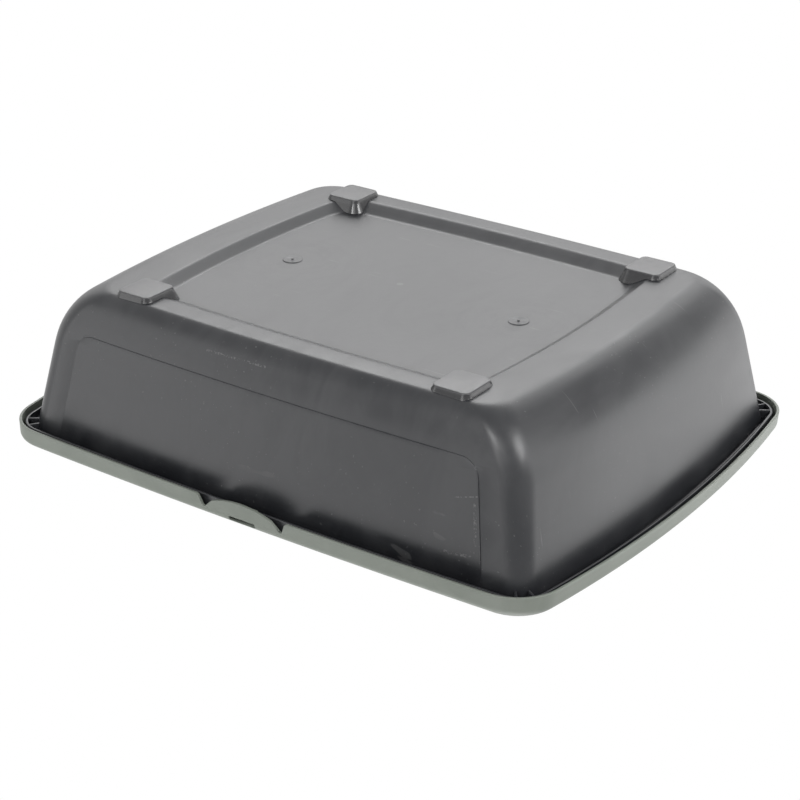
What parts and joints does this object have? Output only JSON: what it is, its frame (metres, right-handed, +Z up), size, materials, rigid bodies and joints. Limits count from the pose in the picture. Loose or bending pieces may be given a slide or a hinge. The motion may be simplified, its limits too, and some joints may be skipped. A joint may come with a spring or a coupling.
{
  "type": "litter box",
  "caption": "Low open-topped cat litter tray on stick-on feet, with a clip-on rim that overhangs its mouth and flexing clips at front and rear.",
  "frame": {"origin": "middle of the plane that the four feet stand on", "axes": "+X along the long side, to the right seen from the front; +Y to the rear, away from the panelled front wall; +Z up"},
  "size_m": [0.4624, 0.3592, 0.1168],
  "materials": {
    "tray_plastic": "satin black polypropylene with a fine moulded texture",
    "rim_plastic": "satin grey-green polypropylene",
    "foot_rubber": "smooth black soft plastic"
  },
  "bodies": {
    "tray": {"tray": "tray_plastic", "foot_front_left": "foot_rubber", "foot_front_right": "foot_rubber", "foot_rear_left": "foot_rubber", "foot_rear_right": "foot_rubber"},
    "rim": {"rim": "rim_plastic"},
    "front_clip": {"front_clip": "rim_plastic"},
    "rear_clip": {"rear_clip": "rim_plastic"}
  },
  "joints": [
    {"name": "rim_lift", "type": "slide", "parent": "tray", "child": "rim", "axis": [0, 0, 1], "range_m": [0, 0.12]},
    {"name": "front_clip_flex", "type": "hinge", "parent": "rim", "child": "front_clip", "pos_m": [0, -0.1777, 0.1104], "axis": [-1, 0, 0], "range_deg": [0, 12], "stiffness_Nm_per_rad": 0.5},
    {"name": "rear_clip_flex", "type": "hinge", "parent": "rim", "child": "rear_clip", "pos_m": [0, 0.1777, 0.1104], "axis": [1, 0, 0], "range_deg": [0, 12], "stiffness_Nm_per_rad": 0.5}
  ]
}
